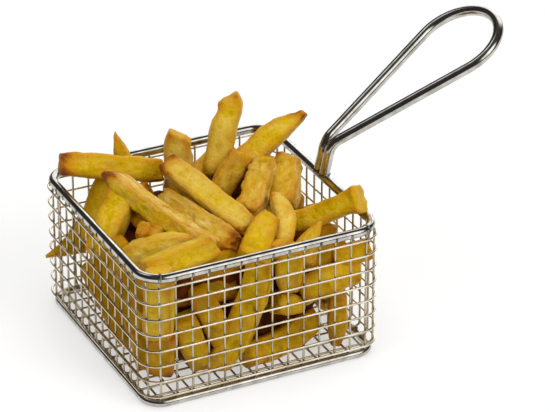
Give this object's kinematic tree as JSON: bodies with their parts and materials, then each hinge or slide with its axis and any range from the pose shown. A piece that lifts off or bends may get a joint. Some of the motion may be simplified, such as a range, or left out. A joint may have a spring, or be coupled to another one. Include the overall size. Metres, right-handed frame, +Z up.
{
  "type": "basket of french fries",
  "caption": "French fries heaped in a small square serving basket of welded steel wire mesh, with a thick rim and foot ring and one long looped wire handle.",
  "frame": {"origin": "on the table under the middle of the whole object's box", "axes": "+X runs from the basket to the tip of its handle, -Y is the basket's front, +Z is up"},
  "size_m": [0.1674, 0.0962, 0.1065],
  "materials": {
    "fried_potato": "fried potato: golden yellow with browned ends and a thin oily sheen",
    "polished_wire": "polished stainless steel wire",
    "mesh_wire": "drawn stainless steel wire, satin"
  },
  "bodies": {
    "root": {"fries_heap": "fried_potato", "rim": "polished_wire", "foot_ring": "polished_wire", "handle": "polished_wire", "mesh_hoop_1": "mesh_wire", "mesh_hoop_2": "mesh_wire", "mesh_hoop_3": "mesh_wire", "mesh_hoop_4": "mesh_wire", "mesh_hoop_5": "mesh_wire", "mesh_hoop_6": "mesh_wire", "mesh_hoop_7": "mesh_wire", "mesh_hoop_8": "mesh_wire", "mesh_wire_front_to_back_1": "mesh_wire", "mesh_wire_front_to_back_2": "mesh_wire", "mesh_wire_front_to_back_3": "mesh_wire", "mesh_wire_front_to_back_4": "mesh_wire", "mesh_wire_front_to_back_5": "mesh_wire", "mesh_wire_front_to_back_6": "mesh_wire", "mesh_wire_front_to_back_7": "mesh_wire", "mesh_wire_front_to_back_8": "mesh_wire", "mesh_wire_front_to_back_9": "mesh_wire", "mesh_wire_front_to_back_10": "mesh_wire", "mesh_wire_front_to_back_11": "mesh_wire", "mesh_wire_front_to_back_12": "mesh_wire", "mesh_wire_front_to_back_13": "mesh_wire", "mesh_wire_front_to_back_14": "mesh_wire", "mesh_wire_side_to_side_1": "mesh_wire", "mesh_wire_side_to_side_2": "mesh_wire", "mesh_wire_side_to_side_3": "mesh_wire", "mesh_wire_side_to_side_4": "mesh_wire", "mesh_wire_side_to_side_5": "mesh_wire", "mesh_wire_side_to_side_6": "mesh_wire", "mesh_wire_side_to_side_7": "mesh_wire", "mesh_wire_side_to_side_8": "mesh_wire", "mesh_wire_side_to_side_9": "mesh_wire", "mesh_wire_side_to_side_10": "mesh_wire", "mesh_wire_side_to_side_11": "mesh_wire", "mesh_wire_side_to_side_12": "mesh_wire", "mesh_wire_side_to_side_13": "mesh_wire", "mesh_wire_side_to_side_14": "mesh_wire"}
  },
  "joints": []
}
